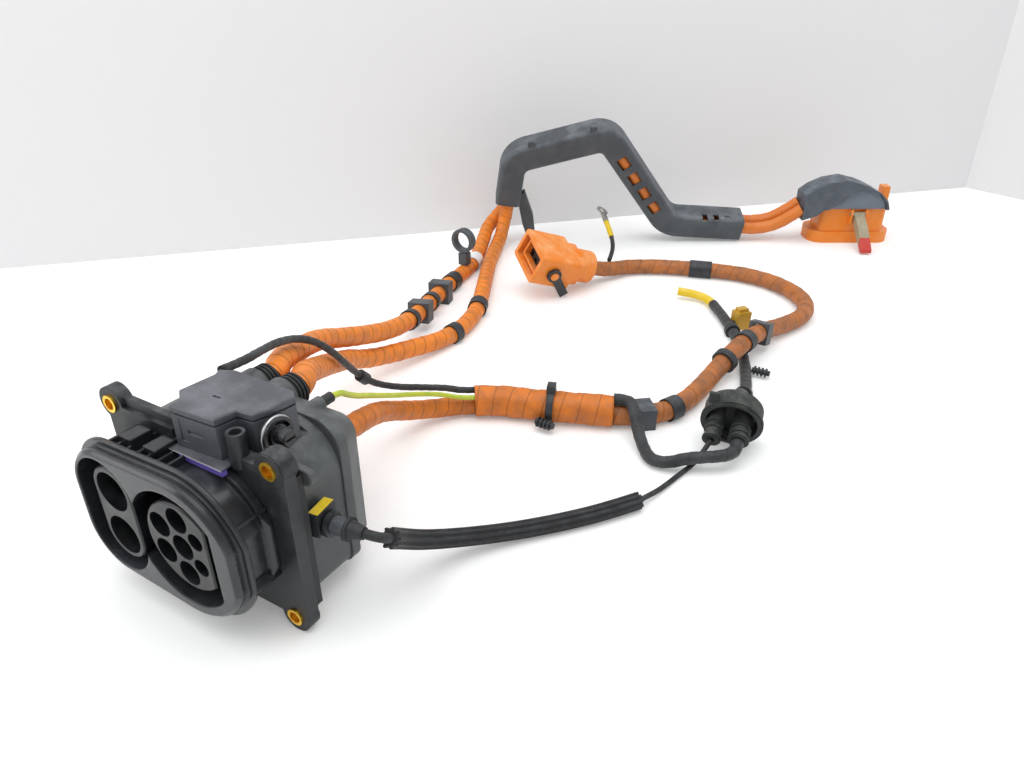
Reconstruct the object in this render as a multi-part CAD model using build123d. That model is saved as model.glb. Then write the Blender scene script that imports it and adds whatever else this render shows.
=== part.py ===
from build123d import *
import math
import os

os.makedirs("parts", exist_ok=True)

# Vehicle charging inlet with its high-voltage harness, lying on a flat surface.
# Origin: centre of the inlet's footprint, on the surface. +Y runs from the
# charging face to the cable side, +X from the DC contacts to the AC contacts.

# Driving sizes
axis_z = 54.0            # contact axis above the surface
face_y = -47.5           # front face of the two contact blocks
rim_proud = 2.5          # rim stands this far in front of the contact blocks
collar_d = 6.5           # depth of the collar between the rim and its rear lip
lip_t = 2.2              # thickness of the rear lip
lip_out = 3.4            # lip overhang past the collar
plate_set = 24.6         # contact face to the front of the mounting plate
plate_t = 7.4            # mounting plate thickness
housing_l = 35.5         # rear housing, plate to rear cover
cover_flange_t = 6.0     # rear cover flange
cover_cap_t = 14.5       # rear cover cap behind its flange
gap = 0.15               # clearance of parts that are fitted into each other
run_gap = 0.3            # clearance of parts that move past each other
bore_gap = 0.08          # radial clearance of a shaft or pin in its bore

ac_r = 25.2              # AC contact block radius
ac_flat = 18.3           # flat on the AC contact block
ac_recess_r = 32.5       # AC recess radius
ac_recess_flat = 25.8    # flat on the AC recess
rim_r = 39.0             # rim radius around the AC recess
rim_flat = 37.0          # flat on the rim
dc_x = -48.2             # DC contact row
dc_pitch = 27.0          # distance of the two DC contacts
dc_block_r = 14.2        # DC contact block radius
dc_hole_r = 11.2         # DC contact hole radius
dc_pocket_x = -49.5      # middle of the DC recess
dc_pocket_pitch = 23.0   # distance of the two arc centres of the DC recess
dc_pocket_r = 22.0       # arc radius of the DC recess
dc_wall = 3.5            # rim width around the DC recess

power_hole_r = 7.0       # hole of a power or earth contact
power_pin_r = 3.0        # power and earth pin
signal_hole_r = 4.8      # hole of a signal contact
signal_pin_r = 1.5       # signal pin
dc_pin_r = 4.0           # DC pin
pin_set = 9.0            # pin tips behind the contact face
power_row = 16.0         # power contacts above and below the earth contact
power_side_x = -14.05    # the two contacts towards the DC side
power_side_z = 8.0
signal_x = 10.7          # signal contacts
signal_z = 7.8

ear_x0 = -72.0           # fixing holes, DC side
ear_dx = 112.0           # fixing hole distance along X
ear_z0 = -45.0           # lower fixing holes, from the contact axis
ear_dz = 89.0            # fixing hole distance along Z
ear_r = 9.0              # ear radius
bush_r = 4.8             # brass bushing outer radius
bush_hole_r = 3.2        # brass bushing bore radius
bush_proud = 0.6         # bushing stands proud of the ear
plate_x1 = 48.5          # right edge of the plate
plate_x0 = -76.0         # left edge of the plate
plate_z1 = 44.0          # top edge of the plate, from the contact axis
plate_z0 = -45.0         # bottom edge of the plate
boss_r = 8.5             # round boss at the upper right fixing
boss_t = 10.0            # its thickness
seal_t = 4.0             # rubber seal behind the plate

house_x0 = -76.0         # rear housing, DC side
house_x1 = 40.0          # rear housing, AC side
house_z = 43.0           # rear housing half height
house_r = 25.0           # large corner radius of the rear housing
house_wall = 3.0         # rear housing wall
dc_top_z = 34.0          # top of the rear housing over the DC side
step_x = -42.0           # the housing steps up towards the AC side here
cover_lip = 0.8          # rear cover flange past the housing
cover_r = 16.0           # its large corner radius
cap_draft = 25.0         # slope of the cap's sides, degrees
exit_z = 34.0            # DC cable exits above the contact axis
dc_exits = (-37.0, -16.5)  # upper and lower DC cable
earth_x = 10.0           # earth wire exit
earth_z = 37.0
drain_r = 5.5            # condensate drain at the bottom of the cap
collar_len = 9.5         # ribbed collars on the two DC cables
collar_r = 9.7
ac_exit_x = 6.0          # AC cable exit
ac_exit_z = 8.0
ac_gland_len = 5.0
ac_gland_r = 10.0

act_z0 = 40.0            # actuator floor, from the contact axis
act_h = 22.0             # actuator height
act_lid_t = 4.5          # actuator lid
act_wall = 2.0           # actuator wall
act_out = [(-17, 21), (-17, 27), (-25, 33), (-23, 52), (-25, 57), (-17, 61),
           (22, 61), (27, 57), (25, 43), (22, 35), (13, 34), (11, 23)]
gasket_t = 0.8           # gasket under the actuator
gear_x = -3.0            # locking gear and pin
gear_y = 42.0            # gear shaft behind the contact face
gear_z = 50.0            # gear shaft above the contact axis
gear_r = 6.2
gear_w = 6.0
pinion_r = 2.2
shaft_r = 2.0
lock_y = 28.0            # locking pin behind the contact face
lock_r = 2.4
lock_travel = 6.5        # locking pin travel
wheel_r = 8.8            # emergency release wheel
wheel_t = 3.6
knob_r = 4.2             # shaft knob in the middle of the wheel
knob_t = 7.0
post_x = 18.5            # hollow screw post beside the actuator
post_y = 27.3
post_r = 4.5
post_top = 56.0

bow_y = 44.2             # release cable fitting, behind the contact face
bow_z = 3.8              # its root above the contact axis
bow_swing = 0.15         # slope of the fitting towards the cable side
bow_x1 = 70.0            # outer end of the fitting
bow_r = 5.5              # socket radius

# Derived positions
rim_y = face_y - rim_proud
lip_y = rim_y + collar_d
plate_y = face_y + plate_set
back_y = plate_y + plate_t
cover_y = back_y + housing_l
cap_y = cover_y + cover_flange_t
end_y = cap_y + cover_cap_t
floor_y = back_y + house_wall
dc_z = (axis_z - dc_pitch / 2, axis_z + dc_pitch / 2)
ear_x = (ear_x0, ear_x0 + ear_dx)
origin_shift = -(ear_x0 - ear_r + bow_x1) / 2
ear_z = (axis_z + ear_z0, axis_z + ear_z0 + ear_dz)


# Helpers
def block(x0, x1, y0, y1, z0, z1):
    """Box given by its corner coordinates."""
    middle = Pos((x0 + x1) / 2, (y0 + y1) / 2, (z0 + z1) / 2)
    return middle * Box(x1 - x0, y1 - y0, z1 - z0)


def rod_y(x, z, r, y0, y1):
    """Cylinder along Y."""
    return Pos(x, (y0 + y1) / 2, z) * Rot(90, 0, 0) * Cylinder(r, y1 - y0)


def rod_x(y, z, r, x0, x1):
    """Cylinder along X."""
    return Pos((x0 + x1) / 2, y, z) * Rot(0, 90, 0) * Cylinder(r, x1 - x0)


def rod_z(x, y, r, z0, z1):
    """Cylinder along Z."""
    return Pos(x, y, (z0 + z1) / 2) * Cylinder(r, z1 - z0)


def slab_y(sketch, y0, y1):
    """Extrude a sketch, drawn in X and Z about the contact axis, from y0 to y1."""
    return Pos(0, y1, axis_z) * extrude(Plane.XZ * sketch, y1 - y0, dir=(0, -1, 0))


def slab_z(points, z0, z1):
    """Extrude a polygon given in X and Y from z0 to z1."""
    outline = make_face(Polyline([(x, y) for x, y in points], close=True))
    return Pos(0, 0, z0) * extrude(outline, z1 - z0, dir=(0, 0, 1))


def flat_disc(r, flat):
    """Disc with a flat on its +X side."""
    return Circle(r) & (Pos(flat - r, 0) * Rectangle(2 * r, 2.2 * r))


def track(x, pitch, r):
    """Upright racetrack outline."""
    return Pos(x, 0) * Rot(0, 0, 90) * SlotCenterToCenter(pitch, 2 * r)


def rim_outline(out):
    """Outline of the rim, widened by out: two tangent lines join its two ends."""
    r1 = rim_r + out
    r2 = dc_pocket_r + dc_wall + out
    rise = dc_pocket_pitch / 2
    reach = math.hypot(dc_pocket_x, rise)
    turn = math.atan2(rise, dc_pocket_x) - math.acos((r1 - r2) / reach)
    nx = math.cos(turn)
    nz = math.sin(turn)
    flat = rim_flat + out
    half = math.sqrt(r1 ** 2 - flat ** 2)
    middle = (turn + math.atan2(half, flat)) / 2
    corner = (turn + math.pi) / 2
    x_end = dc_pocket_x - r2
    near_top = (r1 * nx, r1 * nz)
    far_top = (dc_pocket_x + r2 * nx, rise + r2 * nz)
    round_top = (dc_pocket_x + r2 * math.cos(corner), rise + r2 * math.sin(corner))
    upper = Curve() + ThreePointArc((flat, half), (r1 * math.cos(middle), r1 * math.sin(middle)), near_top)
    upper += Line(near_top, far_top)
    upper += ThreePointArc(far_top, round_top, (x_end, rise))
    lower = mirror(upper, about=Plane.XZ)
    return make_face(upper + lower + Line((x_end, rise), (x_end, -rise)) + Line((flat, half), (flat, -half)))


def recess_outline(out):
    """Outline of the two joined recesses, widened by out."""
    left = track(dc_pocket_x, dc_pocket_pitch, dc_pocket_r + out)
    return flat_disc(ac_recess_r + out, ac_recess_flat + out) + left


def export(shape, name):
    """Write one sub-part, moved from the contact axis to the footprint's centre."""
    pieces = (Pos(origin_shift, 0, 0) * shape).solids()
    body = pieces[0] if len(pieces) == 1 else Compound(children=list(pieces))
    export_step(body, "parts/" + name + ".step")


# Front housing
collar = slab_y(rim_outline(0), rim_y, lip_y)
collar = chamfer(collar.faces().sort_by(Axis.Y)[0].edges(), 1.8)
groove = slab_y(rim_outline(1) - rim_outline(-1.2), lip_y - 2.6, lip_y - 1.2)
lip = slab_y(rim_outline(lip_out), lip_y, lip_y + lip_t)
lip = chamfer(lip.faces().sort_by(Axis.Y)[0].edges(), 0.7)
sleeve = slab_y(rim_outline(-3.2), lip_y + lip_t, plate_y)
flare = slab_y(rim_outline(-0.4) & (Pos(60, 0) * Rectangle(100, 120)), plate_y - 5, plate_y)
flare = chamfer(flare.faces().sort_by(Axis.Y)[0].edges().sort_by(Axis.X)[-1], 2.4)
front = collar - groove + lip + sleeve + flare
rib_y0 = lip_y + lip_t
rib_t = 1.4
rib_out = rim_outline(1.0)
ribs = Part()
for k in range(7):
    x = dc_pocket_x - 4 + k * 7.4
    ribs += block(x, x + rib_t, rib_y0, plate_y, axis_z - 50, axis_z + 50)
for a in (-32, 28):
    arm = block(20, 50, rib_y0, plate_y, -rib_t / 2, rib_t / 2)
    ribs += Pos(0, 0, axis_z) * Rot(0, a, 0) * arm
for side in (-1, 1):
    for k in range(4):
        a = 180 - side * (12 + k * 20)
        arm = block(10, 40, rib_y0, plate_y, -rib_t / 2, rib_t / 2)
        ribs += Pos(dc_pocket_x, 0, axis_z + side * dc_pocket_pitch / 2) * Rot(0, a, 0) * arm
ribs = ribs & slab_y(rib_out, rib_y0, plate_y)
front = front + ribs
for x in (-46, -28):
    front += block(x, x + 9, lip_y + 6, plate_y - 3, axis_z + 33, axis_z + 42)
front = front - slab_y(recess_outline(0), rim_y, plate_y)
strip_x0 = -19.0
strip_x1 = 17.0
strip_y0 = face_y + 17.0
front = front - block(strip_x0 - gap, strip_x1 + gap, strip_y0 - gap, plate_y + 1,
                      axis_z + 36.5, axis_z + 60)
export(front, "front_housing")

# Mounting frame
plate = block(plate_x0, plate_x1, plate_y, back_y, axis_z + plate_z0, axis_z + plate_z1)
frame = plate
for x in ear_x:
    for z in ear_z:
        frame += rod_y(x, z, ear_r, plate_y, back_y)
frame += rod_y(ear_x[1], ear_z[1], boss_r, plate_y - 0.6, plate_y - 0.6 + boss_t)
bar_z1 = axis_z + act_z0 + 9
frame += block(ear_x0, act_out[3][0] - 2 - gap, plate_y + 2, back_y - 1.4, ear_z[1] - 4, bar_z1)
frame += rod_z(post_x, face_y + post_y, post_r, axis_z + plate_z1 - 6, axis_z + post_top)
frame -= rod_z(post_x, face_y + post_y, post_r - 1.6, axis_z + post_top - 14, axis_z + 90)
frame -= slab_y(recess_outline(0), plate_y - 1, back_y + 1)
for x in ear_x:
    for z in ear_z:
        frame -= rod_y(x, z, bush_r, plate_y - 3, back_y + 6)
act_pocket = block(-25 - gap, post_x - post_r - 0.3, plate_y - 1, back_y + 1,
                   axis_z + act_z0 - gasket_t, axis_z + 60)
frame -= act_pocket
pin_bore = rod_z(gear_x, face_y + lock_y, lock_r + bore_gap, axis_z + 20, axis_z + 45)
frame -= pin_bore
export(frame, "mounting_frame")

bushes = Part()
for x in ear_x:
    for z in ear_z:
        thick = boss_t - 0.6 if (x > 0 and z > axis_z) else plate_t
        bush = rod_y(x, z, bush_r, plate_y - 0.6 - bush_proud, plate_y + thick)
        bushes += bush - rod_y(x, z, bush_hole_r, plate_y - 5, plate_y + 20)
export(bushes, "ear_bushings")

# Contact blocks
pins_power = [(0, power_row), (0, -power_row),
              (power_side_x, power_side_z), (power_side_x, -power_side_z)]
pins_signal = [(signal_x, signal_z), (signal_x, -signal_z)]
hole_end = floor_y - 4.0
ac_block = slab_y(flat_disc(ac_r, ac_flat), face_y, floor_y)
ac_block = chamfer(ac_block.faces().sort_by(Axis.Y)[0].edges(), 0.8)
for x, z in pins_power + [(0, 0)]:
    ac_block -= rod_y(x, axis_z + z, power_hole_r, face_y - 1, hole_end)
    ac_block -= rod_y(x, axis_z + z, power_pin_r, hole_end - 1, floor_y + 1)
for x, z in pins_signal:
    ac_block -= rod_y(x, axis_z + z, signal_hole_r, face_y - 1, hole_end)
    ac_block -= rod_y(x, axis_z + z, signal_pin_r, hole_end - 1, floor_y + 1)
export(ac_block, "ac_contact_block")

dc_block = slab_y(track(dc_x, dc_pitch, dc_block_r), face_y, floor_y)
dc_block = chamfer(dc_block.faces().sort_by(Axis.Y)[0].edges(), 0.8)
for z in dc_z:
    dc_block -= rod_y(dc_x, z, dc_hole_r, face_y - 1, hole_end)
    dc_block -= rod_y(dc_x, z, dc_pin_r, hole_end - 1, floor_y + 1)
export(dc_block, "dc_contact_block")


def pin(x, z, r, tip, base):
    """Contact pin with a rounded tip and a rear shoulder."""
    body = rod_y(x, z, r, tip, base)
    return fillet(body.faces().sort_by(Axis.Y)[0].edges(), r * 0.45)


tip_y = face_y + pin_set
base_y = floor_y + 12.0
contacts = pin(0, axis_z, power_pin_r, tip_y - 3, base_y)
for x, z in pins_power:
    contacts += pin(x, axis_z + z, power_pin_r, tip_y, base_y)
for x, z in pins_signal:
    contacts += pin(x, axis_z + z, signal_pin_r, tip_y + 2, base_y)
export(contacts, "ac_pins")
dc_pins = Part()
for z in dc_z:
    dc_pins += pin(dc_x, z, dc_pin_r, tip_y - 2, base_y)
export(dc_pins, "dc_pins")

# Rear housing
house_w = house_x1 - house_x0
house_mid = (house_x0 + house_x1) / 2


def rear_outline(out, shoulder_r):
    """Rear outline, widened by out: low over the DC side, with a shoulder over the AC side."""
    x0 = house_x0 - out
    x1 = house_x1 + out
    z1 = house_z + out
    low = dc_top_z + out
    points = [(x0, -z1), (x1, -z1), (x1, z1), (step_x, z1), (step_x - 9, low), (x0, low)]
    return make_face(FilletPolyline(*points, radius=[8, 8, shoulder_r, 6, 6, 18], close=True))


outer = rear_outline(0, house_r)
rear = slab_y(outer, back_y, cover_y)
inner_z1 = act_z0 - gasket_t - house_wall
inner = rear_outline(-house_wall, house_r - house_wall) & (Pos(house_mid, inner_z1 - 100) * Rectangle(200, 200))
rear -= slab_y(inner, floor_y, cover_y)
act_foot = slab_z([(x, face_y + y) for x, y in act_out], axis_z + act_z0 - gasket_t, axis_z + 80)
rear -= act_foot
rear -= block(act_out[2][0] - gap, act_out[7][0] + gap, back_y - 1, face_y + act_out[5][1] + gap,
              axis_z + act_z0 - gasket_t, axis_z + 80)
for x, z in pins_power + [(0, 0)]:
    rear -= rod_y(x, axis_z + z, power_pin_r, back_y - 1, floor_y + 1)
for x, z in pins_signal:
    rear -= rod_y(x, axis_z + z, signal_pin_r, back_y - 1, floor_y + 1)
for z in dc_z:
    rear -= rod_y(dc_x, z, dc_pin_r, back_y - 1, floor_y + 1)
rear -= slab_y(flat_disc(ac_r, ac_flat) + track(dc_x, dc_pitch, dc_block_r), back_y - 1, floor_y)
lug_z = axis_z + 35.0
export(rear, "rear_housing")

seal_x1 = plate_x1 - 0.5
seal_out = block(house_x0 - 2, seal_x1, back_y, back_y + seal_t,
                 axis_z - house_z - 2, axis_z + act_z0 - gasket_t - 1)
seal = seal_out - slab_y(outer, back_y - 1, back_y + seal_t + 1)
for x in ear_x:
    for z in ear_z:
        seal -= rod_y(x, z, boss_r + 1, back_y - 1, back_y + 10)
export(seal, "frame_seal")

# Rear cover
flange = rear_outline(cover_lip, cover_r)
cover = slab_y(flange, cover_y, cap_y)
cap = extrude(Plane.XZ * rear_outline(-0.4, cover_r), cover_cap_t, dir=(0, 1, 0), taper=cap_draft)
cover += Pos(0, cap_y, axis_z) * cap
cover -= slab_y(inner, cover_y, cap_y + 2)
for x in dc_exits:
    cover += rod_y(x, axis_z + exit_z, collar_r + 0.9, cap_y - 2, end_y)
cover += rod_y(earth_x, axis_z + earth_z, 4.2, cap_y - 2, end_y)
drain_x = -12.0
drain_y = cap_y + drain_r
drain_top = axis_z - house_z
cover += rod_z(drain_x, drain_y, drain_r, 0, drain_top + 5)
cover -= rod_z(drain_x, drain_y, drain_r - 2, -1, drain_top - 2)
screw_at = [(-60, 18), (-60, -28), (-12, -30), (26, 22), (26, -26)]
for x, z in screw_at:
    cover -= rod_y(x, axis_z + z, 1.8, end_y - 2.4, end_y + 1)
export(cover, "rear_cover")

screws = Part()
for x, z in screw_at:
    head = rod_y(x, axis_z + z, 3.5, end_y, end_y + 2.4)
    head -= Pos(x, end_y + 2.4, axis_z + z) * Rot(90, 0, 0) * Cylinder(1.7, 2.4)
    screws += head + rod_y(x, axis_z + z, 1.7, end_y - 2.2, end_y + 0.6)

collars = Part()
for x in dc_exits:
    one = rod_y(x, axis_z + exit_z, collar_r - 1.0, end_y, end_y + collar_len)
    for k in range(4):
        y = end_y + 0.2 + k * collar_len / 4
        one += rod_y(x, axis_z + exit_z, collar_r, y, y + collar_len / 8)
    collars += one
gland = rod_y(ac_exit_x, axis_z + ac_exit_z, ac_gland_r, end_y, end_y + ac_gland_len)
gland = chamfer(gland.faces().sort_by(Axis.Y)[-1].edges(), 1.5)
export(gland, "ac_gland")

# Lock actuator
act_pts = [(x, face_y + y) for x, y in act_out]
act_bottom = axis_z + act_z0
act_top = act_bottom + act_h
split_z = act_top - act_lid_t
act_face = make_face(Polyline(act_pts, close=True))
act_inner = offset(act_face, amount=-act_wall, kind=Kind.INTERSECTION)
tray = slab_z(act_pts, act_bottom, split_z)
tray -= Pos(0, 0, act_bottom + act_wall) * extrude(act_inner, act_h, dir=(0, 0, 1))
shaft_y = face_y + gear_y
shaft_z = axis_z + gear_z
motor_r = 5.5
motor_y = shaft_y + gear_r + pinion_r + run_gap
motor_x0 = gear_x + gear_w / 2 + 1.5
motor_x1 = motor_x0 + 20
bearing_x = gear_x - gear_w / 2 - 3.5
tray += block(bearing_x, bearing_x + 3, shaft_y - 3.5, shaft_y + 3.5,
              act_bottom + act_wall - 0.2, shaft_z + 3.5)
tray += block(motor_x0 + 3, motor_x1 - 3, motor_y - 5, motor_y + 5,
              act_bottom + act_wall - 0.2, shaft_z - 3)
tray -= rod_x(motor_y, shaft_z, motor_r + gap, motor_x0 - 1, motor_x1 + 1)
tray -= rod_x(shaft_y, shaft_z, shaft_r + bore_gap, bearing_x - 1, 40)
tray -= rod_z(gear_x, face_y + lock_y, lock_r + bore_gap, act_bottom - 1, act_bottom + 5)
panel_y = face_y + act_out[0][1]
tray -= block(-13, 6, panel_y - 1, panel_y + 0.7, act_bottom + 4, split_z - 1.5)
tray -= block(-8, 1, panel_y - 1, panel_y + 1.5, act_bottom + 9, act_bottom + 11)
export(tray, "actuator_housing")

lid_out = offset(act_face, amount=-0.9, kind=Kind.INTERSECTION)
lid = Pos(0, 0, split_z + 1.0) * extrude(act_face, act_lid_t - 1.0, dir=(0, 0, 1))
lid = chamfer(lid.faces().sort_by(Axis.Z)[-1].edges(), 0.7)
lid += Pos(0, 0, split_z) * extrude(lid_out, 1.2, dir=(0, 0, 1))
lid -= Pos(0, 0, split_z - 1) * extrude(act_inner, act_lid_t - 1.2, dir=(0, 0, 1))
lid -= block(-6.5, -1.5, face_y + 37, face_y + 38.4, act_top - 0.8, act_top + 1)
export(lid, "actuator_lid")

under = block(strip_x0, strip_x1, strip_y0, plate_y - gap, act_bottom - gasket_t, act_bottom)
under += block(strip_x0, post_x - post_r - 0.6, strip_y0, face_y + 34,
               act_bottom - gasket_t, act_bottom)
under += block(act_out[2][0], act_out[7][0], face_y + 34, face_y + act_out[5][1],
               act_bottom - gasket_t, act_bottom)
under -= rod_z(gear_x, face_y + lock_y, lock_r + run_gap, act_bottom - 3, act_bottom + 1)
under -= rod_z(post_x, face_y + post_y, post_r + gap, act_bottom - 3, act_bottom + 1)
export(under, "actuator_gasket")
guide = block(strip_x0 + 7, strip_x1, strip_y0, strip_y0 + 3, axis_z + 36.5, act_bottom - gasket_t)
export(guide, "guide_strip")

motor = rod_x(motor_y, shaft_z, motor_r, motor_x0, motor_x1)
motor += rod_x(motor_y, shaft_z, 2.0, motor_x1, motor_x1 + 1.2)
export(motor, "lock_motor")
pinion = rod_x(motor_y, shaft_z, pinion_r, gear_x - gear_w / 2, gear_x + gear_w / 2)
pinion += rod_x(motor_y, shaft_z, 1.0, gear_x + gear_w / 2, motor_x0 - 0.1)
export(pinion, "motor_pinion")
wheel_x0 = max(x for x, y in act_out) - 0.5
wheel_x1 = wheel_x0 + wheel_t
gear = rod_x(shaft_y, shaft_z, gear_r, gear_x - gear_w / 2, gear_x + gear_w / 2)
gear += rod_x(shaft_y, shaft_z, shaft_r, bearing_x, wheel_x0)
export(gear, "lock_gear")
rack_y1 = shaft_y - gear_r - run_gap
rack_z1 = split_z - 0.5
bolt = rod_z(gear_x, face_y + lock_y, lock_r, axis_z + ac_recess_r + 0.7, rack_z1)
bolt += block(gear_x - gear_w / 2, gear_x + gear_w / 2, face_y + lock_y, rack_y1,
              act_bottom + act_wall + lock_travel + run_gap, rack_z1)
bolt = chamfer(bolt.faces().sort_by(Axis.Z)[0].edges(), 0.6)
export(bolt, "lock_pin")

wire_r = 0.7
wheel = rod_x(shaft_y, shaft_z, wheel_r, wheel_x0, wheel_x1)
slots = rod_x(shaft_y, shaft_z, wheel_r - 1.7, wheel_x0 - 1, wheel_x1 + 1)
slots -= rod_x(shaft_y, shaft_z, wheel_r - 3.6, wheel_x0 - 2, wheel_x1 + 2)
for k in range(3):
    spoke = block(wheel_x0 - 2, wheel_x1 + 2, -1.6, 1.6, 0, wheel_r)
    slots -= Pos(0, shaft_y, shaft_z) * Rot(30 + 120 * k, 0, 0) * spoke
wheel -= slots
wire_x = wheel_x0 + wheel_t / 2
ring_at = Pos(wire_x, shaft_y, shaft_z) * Rot(0, 90, 0)
wheel -= ring_at * Torus(wheel_r, wire_r + 0.2)
wheel += rod_x(shaft_y, shaft_z, knob_r, wheel_x1, wheel_x1 + knob_t)
wheel = chamfer(wheel.faces().sort_by(Axis.X)[-1].edges(), 0.6)
wheel -= block(wheel_x1 + knob_t - 1.5, wheel_x1 + knob_t + 1, shaft_y - 3, shaft_y + 3,
               shaft_z - 0.6, shaft_z + 0.6)
export(wheel, "release_wheel")
loop = ring_at * Torus(wheel_r, wire_r)
tail_y = shaft_y - wheel_r
house_top = axis_z + house_z - house_r
tail_z0 = house_top + math.sqrt(house_r ** 2 - (wire_x - house_x1 + house_r) ** 2)
loop += rod_z(wire_x, tail_y, wire_r - 0.1, tail_z0 + 0.35, shaft_z + 1.5)
export(loop, "release_wire_ring")

screw = rod_z(post_x, face_y + post_y, post_r - 1.7, axis_z + post_top - 14, axis_z + post_top - 5)
screw -= Pos(post_x, face_y + post_y, axis_z + post_top - 5) * extrude(RegularPolygon(1.6, 6), -2.5)
export(screws + screw, "housing_screws")

# Release cable fitting
bow_root = Vector(house_x1, face_y + bow_y, axis_z + bow_z)
bow_dir = Vector(1, bow_swing, 0).normalized()
bow_side = Vector(-bow_dir.Y, bow_dir.X, 0).normalized()
boot_r1 = 3.2
bow_len = (bow_x1 - boot_r1 * math.sqrt(1 - bow_dir.X ** 2) - house_x1) / bow_dir.X
bow_at = Plane(origin=bow_root, x_dir=bow_side, z_dir=bow_dir).location
bow_end = bow_root + bow_dir * bow_len


def on_axis(r, t0, t1):
    """Cylinder of the fitting, between two distances from the housing."""
    return Pos(0, 0, (t0 + t1) / 2) * Cylinder(r, t1 - t0)


def across(x0, x1, y0, y1, t0, t1):
    """Box in the frame of the fitting: sideways, upwards, outwards."""
    return Pos((x0 + x1) / 2, (y0 + y1) / 2, (t0 + t1) / 2) * Box(x1 - x0, y1 - y0, t1 - t0)


socket_len = 13.0
clip_t0 = 4.0
clip_w = 5.5
flat_x = bow_r - 1.4
socket = on_axis(bow_r, -3, socket_len)
socket += across(-7, 7, -7, 7, -3, 2.5)
socket += on_axis(bow_r + 1.2, socket_len - 2.5, socket_len)
socket -= across(-9, -flat_x, -9, 9, clip_t0 - run_gap, clip_t0 + clip_w + run_gap)
socket -= across(flat_x, 9, -9, 9, clip_t0 - run_gap, clip_t0 + clip_w + run_gap)
socket = bow_at * socket
socket -= block(house_x0, house_x1, back_y, cover_y, 0, axis_z + house_z)
export(socket, "cable_socket")
clip = across(-bow_r - 2, bow_r + 2, -4, bow_r + 4, clip_t0, clip_t0 + clip_w)
clip -= across(-flat_x - bore_gap, flat_x + bore_gap, -9, bow_r + run_gap, 0, socket_len)
clip -= on_axis(bow_r + bore_gap, 0, socket_len)
clip = fillet(clip.edges().filter_by(Axis.Z).sort_by(Axis.Y)[-2:], 1.5)
export(bow_at * clip, "locking_clip")
ferrule_len = 7.5
ferrule = on_axis(bow_r - 0.9, socket_len, socket_len + ferrule_len)
ferrule -= across(2.5, 9, -2, 2, socket_len + 2, socket_len + ferrule_len - 2.5)
export(bow_at * ferrule, "cable_ferrule")
boot_t = socket_len + ferrule_len
boot = Cone(bow_r - 0.3, boot_r1, bow_len - boot_t, align=(Align.CENTER, Align.CENTER, Align.MIN))
boot = Pos(0, 0, boot_t) * boot + on_axis(bow_r + 0.6, boot_t, boot_t + 2)
export(bow_at * boot, "cable_boot")

lug_y = face_y + 39.0
lug_x = 48.0
lug = block(house_x1 - 9, lug_x, lug_y - 2, lug_y + 2, lug_z - 4, lug_z + 4)
lug += rod_y(lug_x, lug_z, 4, lug_y - 2, lug_y + 2)
lug -= rod_y(lug_x, lug_z, 2, lug_y - 3, lug_y + 3)
lug -= rear
export(lug, "guide_eye")

# Harness sizes
dc_cable_r = 7.5         # high-voltage DC cables
ac_cable_in_r = 7.0      # AC cable between the inlet and the taped branch
ac_cable_r = 7.5         # AC cable behind the taped branch
wrap_r = 11.5            # taped branch
lead_r = 2.5             # actuator lead
earth_r = 1.75           # earth wire
signal_r = 4.25          # signal lead in its tube
bow_cable_r = 2.5        # release cable near the inlet
bow_thin_r = 1.7         # release cable at the grommet
bow_sleeve_r = 5.5       # ribbed sleeve over the release cable
bundle_r = 4.5           # taped lead behind the grommet
branch_r = 2.5           # short branch of that lead
bond_r = 2.2             # bonding wire
tape_t = 0.9             # tape bands over the cables
tape_gap = 0.35          # looseness of bands and clips on the cables

# Routes of the free cables, from their exits to their ends
route_dc_upper = [(-37, 50, 88), (-39, 56, 88.2), (-47.5, 65.5, 87.3), (-55.3, 78.8, 84),
                  (-61.1, 90.4, 80), (-73.8, 112.4, 72), (-84, 134, 64.5), (-91.5, 160, 52.5),
                  (-93.5, 189, 42), (-96, 218.5, 33),
                  (-103, 247.5, 25.5), (-113, 276, 19.5), (-124, 304.5, 14.5),
                  (-134.5, 333.5, 11), (-143.5, 363, 9), (-150, 393, 7.5), (-155.5, 423.5, 7.5),
                  (-163.5, 448, 8), (-173.5, 470.5, 10.5), (-183.3, 493.1, 14.4),
                  (-190, 509.7, 18), (-191, 522.5, 22.9), (-187.6, 532.4, 30),
                  (-181.25, 536.5, 39.6), (-177.95, 534.4, 51.85)]
route_dc_lower = [(-16.5, 50, 88), (-18.2, 56.5, 88), (-27.6, 65.2, 86), (-38.5, 80.5, 78),
                  (-52.3, 99.7, 67), (-72.3, 132.8, 50), (-85.6, 162, 36), (-92, 184, 24),
                  (-91, 212, 16),
                  (-85.5, 240.5, 11.5), (-79.5, 269.5, 8), (-79, 299, 7.5), (-86, 327.5, 7.5),
                  (-97.5, 355, 8.5), (-111.5, 381, 8.5), (-125.5, 407.5, 8),
                  (-139.5, 433.5, 7.5), (-150.5, 457, 7.5), (-160, 478.5, 7.5),
                  (-168.5, 498.5, 7.8), (-172.8, 511.8, 12), (-174.6, 520.2, 23.5),
                  (-173.6, 524, 35.8), (-170.4, 522, 47.7)]
route_wrap = [(2.9, 193.9, 11.5), (13.5, 201.5, 11.5), (26.5, 207, 11.5),
              (49, 214.5, 11.5), (72, 223, 11.5), (94.5, 233.3, 11.5)]
wrap_in = (Vector(*route_wrap[1]) - Vector(*route_wrap[0])).normalized()
wrap_out = (Vector(*route_wrap[-1]) - Vector(*route_wrap[-2])).normalized()
in_side = Vector(-wrap_in.Y, wrap_in.X, 0)
out_side = Vector(-wrap_out.Y, wrap_out.X, 0)
drop_in = Vector(0, 0, ac_cable_in_r + 1 - wrap_r)
drop_out = Vector(0, 0, ac_cable_r + 0.5 - wrap_r)
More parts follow.
